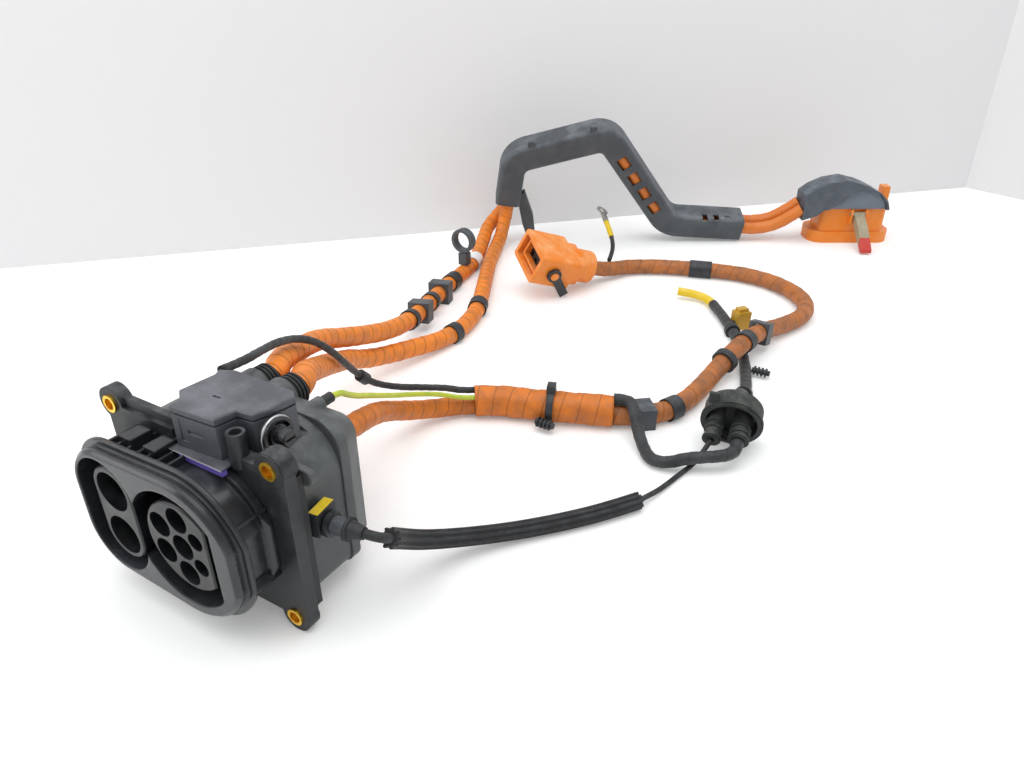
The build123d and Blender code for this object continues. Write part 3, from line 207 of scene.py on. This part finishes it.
# Printed film, left blank, and bare sheaths
label_film = moulded("blank_label_film", "#eceff2", "#ffffff", 0.35, grain_mm=2.0, dust_and_sheen_share=0.2)
clip_grey = moulded("grey_clip_nylon", "#43484d", "#7b8085", 0.5, dust_and_sheen_share=0.6)
sheath_orange = moulded("orange_silicone_sheath", "#dc7a2c", "#e59a5c", 0.4, grain_mm=1.0, dust_and_sheen_share=0.4,
                        streak_mm=20)
sheath_earth = moulded("yellow_green_sheath", "#c9d23a", "#7fb04a", 0.4, dust_and_sheen_share=0.8, streak_mm=14)
# Bare metals, dulled in patches
tin = metal("tinned_copper", "#c9c8c4", "#8e8c86", 0.38)
silver_pin = metal("silver_plated_contact", "#cfcdc8", "#97938a", 0.3)
steel = metal("zinc_plated_steel", "#d4d5d6", "#9c9ea0", 0.33)
brass = metal("turned_brass", "#ffd04a", "#d9a02a", 0.34)

# Cloth harness tape in its colours, the second being a painted shade along the lap edges; the pitch is the
# distance between two laps in mm
orange_tape = wound_tape("orange_harness_tape", "#f28a22", "#7a4014", "#cf7a38", 11.5, 0.5)
# A darker copy of the orange tape, on the AC cable near the inlet and on the taped branch
darker_tape = wound_tape("darker_orange_tape", "#dc7a1e", "#6a3812", "#b8682c", 12.5, 0.52)
brown_tape = wound_tape("brown_orange_tape", "#bb7034", "#6a3e22", "#8a5a3a", 16.0, 0.55)
black_tape = wound_tape("black_harness_tape", "#26282a", "#0f1011", "#3a3d40", 8.0, 0.6, 0.1)

finish_of = {
    "front_housing": rim_nylon, "mounting_frame": frame_nylon, "ear_bushings": brass,
    "ac_contact_block": contact_black, "dc_contact_block": contact_black,
    "ac_pins": silver_pin, "dc_pins": silver_pin, "rear_housing": cover_nylon,
    "frame_seal": rubber_black, "rear_cover": cover_nylon, "dc_cable_collars": rubber_black,
    "ac_gland": rubber_black, "actuator_housing": actuator_nylon, "actuator_lid": actuator_nylon,
    "actuator_gasket": actuator_nylon, "guide_strip": violet_strip, "lock_motor": steel,
    "motor_pinion": silver_pin, "lock_gear": white_acetal, "lock_pin": silver_pin,
    "release_wheel": wheel_acetal, "release_wire_ring": steel, "housing_screws": steel,
    "cable_socket": nylon, "locking_clip": nylon, "cable_ferrule": clip_grey,
    "cable_boot": rubber_black, "guide_eye": cover_nylon, "tape_bands": dark_clip,
    "label_band": label_film, "clip_plates": clip_grey, "earth_stub": rubber_black,
    "grommet": rubber_grommet, "coding_plug": plug_ochre, "cable_duct": duct_nylon,
    "dc_boot": rubber_boot, "dc_shroud": shroud_grey, "dc_connector_housing": orange_pbt,
    "dc_handle": handle_beige, "dc_handle_tip": tip_red, "ac_connector_housing": orange_pbt,
    "ac_connector_insert": contact_black, "ac_connector_lever": dark_clip,
    "ring_terminal": tin, "cable_clips": dark_clip, "ring_clamp": clip_grey,
}
for name, finish in finish_of.items():
    mesh = nodes[name].data
    mesh.materials.clear()
    mesh.materials.append(finish)


def faced(name, finish, towards, least):
    """Gives another finish to a node's faces that look towards a direction."""
    mesh = nodes[name].data
    mesh.materials.append(finish)
    for face in mesh.polygons:
        if face.normal.dot(Vector(towards)) > least:
            face.material_index = len(mesh.materials) - 1


# The gasket shows only as a pale edge, and the clip has a yellow mark on its back
faced("actuator_gasket", gasket_foam, (0, -1, 0), 0.7)
faced("locking_clip", yellow_pe, (0, 0, 1), 0.9)


# Cables


def smooth_line(name, route):
    """The smooth line of a cable: a NURBS spline with the route's points as its control
    points, read back as points a millimetre or so apart."""
    curve = bpy.data.curves.new(name + "_line", "CURVE")
    curve.dimensions = "3D"
    spline = curve.splines.new("NURBS")
    spline.points.add(len(route) - 1)
    for point, place in zip(spline.points, route):
        point.co = (*at(*place), 1.0)
    spline.order_u = 3
    spline.use_endpoint_u = True
    spline.resolution_u = 20
    carrier = bpy.data.objects.new(name + "_line", curve)
    bpy.context.scene.collection.objects.link(carrier)
    line = bpy.data.meshes.new_from_object(carrier)
    points = [v.co.copy() for v in line.vertices]
    bpy.data.objects.remove(carrier)
    bpy.data.curves.remove(curve)
    bpy.data.meshes.remove(line)
    return points


def sweep(name, line, radius, finish, around=28):
    """A closed tube along a line. radius(s, angle) is its outline in metres, s being the
    distance along the line in mm. Its UV map holds that distance and the turn."""
    bm = bmesh.new()
    uv = bm.loops.layers.uv.new("UVMap")
    rings = []
    run = 0.0
    side = None
    for i, here in enumerate(line):
        ahead = line[min(i + 1, len(line) - 1)] - line[max(i - 1, 0)]
        ahead.normalize()
        if side is None:
            side = ahead.cross(Vector((0.0, 0.0, 1.0))).normalized()
        side = (side - ahead * side.dot(ahead)).normalized()
        over = ahead.cross(side)
        if i:
            run += (here - line[i - 1]).length
        s = run / MM
        ring = []
        for k in range(around):
            angle = 2 * math.pi * k / around
            r = radius(s, angle)
            ring.append(bm.verts.new(here + (side * math.cos(angle) + over * math.sin(angle)) * r))
        rings.append((s, ring))
    for (s0, low), (s1, high) in zip(rings, rings[1:]):
        for k in range(around):
            n = (k + 1) % around
            face = bm.faces.new((low[k], low[n], high[n], high[k]))
            face.smooth = True
            turn = (k / around, (k + 1) / around)
            corners = ((s0, turn[0]), (s0, turn[1]), (s1, turn[1]), (s1, turn[0]))
            for loop, place in zip(face.loops, corners):
                loop[uv].uv = place
    bm.faces.new(list(reversed(rings[0][1])))
    bm.faces.new(rings[-1][1])
    bmesh.ops.recalc_face_normals(bm, faces=bm.faces)
    mesh = bpy.data.meshes.new(name)
    bm.to_mesh(mesh)
    bm.free()
    made = bpy.data.objects.new(name, mesh)
    bpy.context.scene.collection.objects.link(made)
    mesh.materials.append(finish)
    return made


def taped(r_mm, pitch_mm, lap_mm=0.35, slack_mm=0.15):
    """Outline of a cable under wound tape: each turn steps over the last one."""
    def outline(s, angle):
        lap = (s / pitch_mm + angle / (2 * math.pi)) % 1.0
        loose = math.sin(s * 0.21 + 2 * angle) * 0.5 + math.sin(s * 0.083 - angle) * 0.5
        return (r_mm - lap * lap_mm + loose * slack_mm) * MM
    return outline


def plain(r_mm):
    """Outline of a bare sheath."""
    def outline(s, angle):
        return r_mm * MM
    return outline


def finned(r_mm, fins, depth_mm, steepness=2.2):
    """Outline of an extruded sleeve with fins along it, flat on top and between."""
    def outline(s, angle):
        wave = max(-1.0, min(1.0, math.cos(fins * angle) * steepness))
        return (r_mm - depth_mm * (0.5 - 0.5 * wave)) * MM
    return outline


def tube_piece(name, line, outline, finish, node=None, around=28):
    """A tube along a line, in place of a node."""
    made = sweep(name, line, outline, finish, around)
    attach(made, INLET)
    if node:
        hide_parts(node)
    return made


def cable(name, route, outline, finish, node=None, around=28):
    """One free cable: its tube and what it replaces."""
    line = smooth_line(name, route)
    made = tube_piece(name, line, outline, finish, node, around)
    return made


route_dc_upper = [(-37, 50, 88), (-39, 56, 88.2), (-47.5, 65.5, 87.3), (-55.3, 78.8, 84),
                  (-61.1, 90.4, 80), (-73.8, 112.4, 72), (-84, 134, 64.5), (-91.5, 160, 52.5),
                  (-93.5, 189, 42), (-96, 218.5, 33),
                  (-103, 247.5, 25.5), (-113, 276, 19.5), (-124, 304.5, 14.5),
                  (-134.5, 333.5, 11), (-143.5, 363, 9), (-150, 393, 7.5), (-155.5, 423.5, 7.5),
                  (-163.5, 448, 8), (-173.5, 470.5, 10.5), (-183.3, 493.1, 14.4),
                  (-190, 509.7, 18), (-191, 522.5, 22.9), (-187.6, 532.4, 30),
                  (-181.25, 536.5, 39.6), (-177.95, 534.4, 51.85)]
route_dc_lower = [(-16.5, 50, 88), (-18.2, 56.5, 88), (-27.6, 65.2, 86), (-38.5, 80.5, 78),
                  (-52.3, 99.7, 67), (-72.3, 132.8, 50), (-85.6, 162, 36), (-92, 184, 24),
                  (-91, 212, 16),
                  (-85.5, 240.5, 11.5), (-79.5, 269.5, 8), (-79, 299, 7.5), (-86, 327.5, 7.5),
                  (-97.5, 355, 8.5), (-111.5, 381, 8.5), (-125.5, 407.5, 8),
                  (-139.5, 433.5, 7.5), (-150.5, 457, 7.5), (-160, 478.5, 7.5),
                  (-168.5, 498.5, 7.8), (-172.8, 511.8, 12), (-174.6, 520.2, 23.5),
                  (-173.6, 524, 35.8), (-170.4, 522, 47.7)]
route_wrap = [(2.9, 193.9, 11.5), (13.5, 201.5, 11.5), (26.5, 207, 11.5),
              (49, 214.5, 11.5), (72, 223, 11.5), (94.5, 233.3, 11.5)]
route_ac_in = [(6, 45.5, 62), (6, 59.5, 62), (2.5, 76, 58.5),
               (-4, 92.5, 51.5), (-11.5, 108.5, 42.5), (-18, 121, 34.5), (-21.5, 134, 27),
               (-21.5, 150.5, 18.5), (-19, 165, 12.5), (-14, 177, 9),
               (-6.85, 186.9, 8), (2.9, 193.9, 8)]
route_ac_out = [(94.5, 233.3, 8), (105.4, 238.3, 8), (122, 252.5, 8), (132, 275, 8), (135, 304.5, 8),
                (137, 334, 10.5), (143, 362, 18), (148.5, 391, 19.5), (151, 420, 12),
                (160.5, 447.5, 8), (170.5, 475.5, 8), (167, 504, 8), (149, 527.5, 8),
                (124, 543, 8), (95.5, 547.5, 8), (66, 542.5, 8), (38, 533.5, 8),
                (11, 522.5, 8), (-14.5, 507, 8), (-22.2, 489, 10), (-29.8, 469.9, 14.1),
                (-37.75, 457, 19.4)]
route_earth = [(10, 48.5, 91), (10, 56, 90), (6, 63, 84), (2, 76, 75), (-4, 91, 66), (-8, 108, 56),
               (-13.5, 129, 44), (-16, 151, 33), (-13, 172, 23.5),
               (-1.73, 183.2, 18), (6.4, 189, 18)]
route_lead = [(-29.5, 14, 112), (-35.5, 32.5, 107), (-41.5, 50, 104), (-47, 67.5, 100.5),
              (-51.5, 84.5, 94.5), (-51.3, 97.6, 87.6), (-50.8, 109, 77.3), (-52.4, 121, 63.5),
              (-58.3, 137.2, 45.3), (-58.5, 154.5, 27.5), (-47.5, 168.5, 20.5), (-33, 181, 18.5),
              (-17.5, 189.3, 18.5), (-7.38, 190.2, 19), (1.15, 196.3, 19)]
route_signal = [(93.25, 236, 19.5), (99.6, 238.9, 19.5), (107, 236.5, 20.5), (112.5, 229.5, 17),
                (118.5, 221.5, 10.5), (126.5, 212, 5.2), (136.5, 200.5, 4.5), (148.5, 200.5, 6),
                (158.5, 207, 9.5), (168.5, 212.5, 11), (178.5, 218.5, 11.7), (184.9, 226.6, 12.4),
                (183.45, 234.9, 14.95)]
route_bow_in = [(69.52, 1.13, 57.8), (74.47, 1.87, 57.8), (78, 6, 55), (75.7, 11.7, 50)]
route_bow_sleeve = [(75.7, 11.7, 50), (72, 19.5, 42.5), (70, 28.5, 34.5), (70.5, 40, 25.5),
                    (75.5, 57, 16), (87.5, 77.5, 9), (102.5, 96.5, 6), (119, 115.5, 5.6),
                    (134.5, 135, 5.6), (148, 155.8, 5.6)]
route_bow_out = [(148, 155.8, 5.6), (152.5, 171, 3.2), (155.5, 186, 2), (158.2, 199, 2),
                 (161.8, 211.5, 2.4), (165, 220.5, 8), (167.5, 228, 15)]
route_bundle = [(172.18, 259.6, 23.9), (170.4, 269, 26.8), (168.9, 281, 24.5), (168, 296, 15.5),
                (166.5, 311, 8.5), (163, 326.5, 5.5), (158.5, 341, 4.8), (153.5, 357, 4.8),
                (146, 376.5, 4.6), (137, 395.5, 4.6), (126.5, 413.5, 5), (115.5, 431.5, 5),
                (103.5, 448.5, 5.5), (90.5, 464.5, 5.5)]
route_yellow = [(90.4, 464.6, 5.5), (85.4, 470.7, 5.5), (76, 475.6, 6), (65, 475.2, 7),
                (53, 471.6, 8)]
route_branch = [(117, 431.5, 5), (121.5, 436.5, 5), (124, 440, 8)]
route_bond = [(-25.2, 481.5, 21.3), (-27.5, 491, 23), (-31.5, 503.5, 26.5), (-38, 514.6, 31.5),
              (-46.5, 525, 36.5), (-55, 535.5, 40.5)]
# The cables in the duct, in its own frame: along its foot line, up
duct_cable_line = [(-5, 52), (-2.8, 72), (0.2, 90), (9, 105.5), (28, 111.8), (50, 117.8),
                   (73, 123), (92, 126.5), (107, 119), (119, 104), (133, 85.5), (146, 65.5),
                   (159, 47), (174, 31), (193, 23.2), (214, 21.2), (237, 20.6), (259, 18.2),
                   (281, 17), (300, 21.5), (315, 33), (326, 43)]
duct_frame = (Matrix.Translation((-177.3, 543.0, 0)) @ Matrix.Rotation(math.radians(31.24), 4, "Z")
              @ Matrix.Rotation(math.radians(16), 4, "X"))


def in_duct(side_mm):
    """The route of one cable through the duct, so far beside its middle."""
    return [tuple(duct_frame @ Vector((along, side_mm, up))) for along, up in duct_cable_line]


BOND_SLEEVE_POINTS = 34  # the last points of the bonding wire's line, under its yellow sleeve
cable("upper_dc_cable", route_dc_upper, taped(7.5, 11.5), orange_tape, node="dc_cable_upper")
cable("lower_dc_cable", route_dc_lower, taped(7.5, 11.5), orange_tape, node="dc_cable_lower")
branch = tube_piece("taped_branch", smooth_line("taped_branch", route_wrap), taped(11.5, 14.0, 0.5, 0.4),
                    darker_tape, "harness_wrap")
cable("ac_cable_near", route_ac_in, taped(7.0, 12.0), darker_tape, node="ac_cable_inlet")
cable("ac_cable_far", route_ac_out, taped(7.5, 13.0), brown_tape, node="ac_cable_outer")
cable("earth_lead", route_earth, plain(1.75), sheath_earth, node="earth_wire",
      around=16)
cable("actuator_harness", route_lead, taped(2.5, 7.0, 0.2, 0.1), black_tape,
      node="actuator_lead", around=18)
cable("signal_harness", route_signal, taped(4.25, 8.0, 0.25, 0.15), black_tape,
      node="signal_lead", around=20)
bow_near = tube_piece("release_cable_near", smooth_line("release_cable_near", route_bow_in), plain(2.5),
                      rubber_black, around=18)
cable("finned_sleeve", route_bow_sleeve, finned(5.5, 9, 1.3), rubber_black,
      node="ribbed_sleeve", around=90)
cable("release_cable_far", route_bow_out, plain(1.7), rubber_black,
      node="release_cable", around=16)
open_sleeve = tube_piece("open_yellow_sleeve", smooth_line("open_yellow_sleeve", route_yellow), plain(4.0),
                         yellow_pe, "yellow_sleeve", 20)
plug_branch = tube_piece("plug_branch", smooth_line("plug_branch", route_branch), taped(2.5, 6.0, 0.2, 0.1),
                         black_tape, around=16)
cable("rear_harness", route_bundle, taped(4.5, 8.0, 0.25, 0.2), black_tape,
      node="rear_lead", around=20)
bond_end = smooth_line("bond_sleeve", route_bond)[-BOND_SLEEVE_POINTS:]
bond_sleeve = tube_piece("bond_sleeve", bond_end, plain(2.7), yellow_pe, around=18)
cable("bonding_lead", route_bond, plain(2.2), rubber_black, node="bond_wire",
      around=16)
cable("duct_cable_near", in_duct(-7.55), taped(6.8, 12.0), sheath_orange, node="duct_cables")
cable("duct_cable_far", in_duct(7.55), taped(6.8, 12.0), sheath_orange)


# Floor, wall, light and camera


def flat(name, corners, finish):
    """One flat face of the room."""
    mesh = bpy.data.meshes.new(name)
    mesh.from_pydata([Vector(c) for c in corners], [], [tuple(range(len(corners)))])
    made = bpy.data.objects.new(name, mesh)
    bpy.context.scene.collection.objects.link(made)
    mesh.materials.append(finish)
    return made


def paint(name, body, lift):
    """Matt white surface of the room. Seen by the camera or in a gloss it is lifted by
    lift, so that it shows nearly white without more light on the object."""
    made, tree, shader = start(name)
    rays = add(tree, "LightPath")
    seen = add(tree, "Math", {0: rays.outputs["Is Camera Ray"], 1: rays.outputs["Is Glossy Ray"]},
               operation="MAXIMUM").outputs[0]
    seen = add(tree, "Math", {0: seen, 1: rays.outputs["Is Transmission Ray"]},
               operation="MAXIMUM").outputs[0]
    strength = add(tree, "Math", {0: seen, 1: lift}, operation="MULTIPLY").outputs[0]
    shader.inputs["Base Color"].default_value = shade(body)
    shader.inputs["Roughness"].default_value = 0.8
    shader.inputs["Specular IOR Level"].default_value = 0.1
    shader.inputs["Emission Color"].default_value = shade(body)
    tree.links.new(strength, shader.inputs["Emission Strength"])
    return made


floor_paint = paint("white_floor", "#f5f6f6", 0.2)
wall_paint = paint("white_wall", "#e3e3e4", 0.12)
# The room's corner shows behind the cables: where two walls meet, and a point on the left one
wall_left = Vector((-0.584, 0.173, 0))
wall_corner = Vector((0.264, 1.053, 0))
far_left = wall_left - (wall_corner - wall_left).normalized() * 2.0
right_end = wall_corner + Vector((0.9, -0.35, 0))
wall_top = Vector((0, 0, 2.5))
flat("floor", [(-4, -3, 0), (4, -3, 0), (4, 4, 0), (-4, 4, 0)], floor_paint)
flat("wall_back", [far_left, wall_corner, wall_corner + wall_top, far_left + wall_top], wall_paint)
flat("wall_side", [wall_corner, right_end, right_end + wall_top, wall_corner + wall_top], wall_paint)

world = bpy.data.worlds.new("studio")
bpy.context.scene.world = world
world.use_nodes = True
world.node_tree.nodes["Background"].inputs["Color"].default_value = shade("#f6f6f7")
world.node_tree.nodes["Background"].inputs["Strength"].default_value = 0.55


def soft_lamp(name, place, aim, size, power):
    """A large square lamp, looking from place to aim."""
    lamp = bpy.data.lights.new(name, "AREA")
    lamp.size = size
    lamp.energy = power
    made = bpy.data.objects.new(name, lamp)
    made.location = place
    made.rotation_euler = (Vector(aim) - Vector(place)).to_track_quat("-Z", "Y").to_euler()
    bpy.context.scene.collection.objects.link(made)


soft_lamp("ceiling", (0.1, 0.1, 1.5), (0.0, 0.3, 0.0), 1.6, 16.0)
soft_lamp("window", (-1.0, -0.8, 0.9), (0.0, 0.1, 0.05), 0.9, 7.0)

# The camera was solved on the photo: its place and direction in metres in the row frame
eye = Vector((0.28246, -0.206, 0.302))
forward = Vector((-0.4504, 0.7425, -0.4959))
camera = bpy.data.cameras.new("photo_camera")
camera.lens = 27.33
camera.sensor_width = 36.0
camera.clip_start = 0.01
camera.clip_end = 20.0
stand = bpy.data.objects.new("photo_camera", camera)
stand.location = eye
stand.rotation_euler = forward.to_track_quat("-Z", "Y").to_euler()
bpy.context.scene.collection.objects.link(stand)
bpy.context.scene.camera = stand
bpy.context.scene.view_settings.view_transform = "Standard"
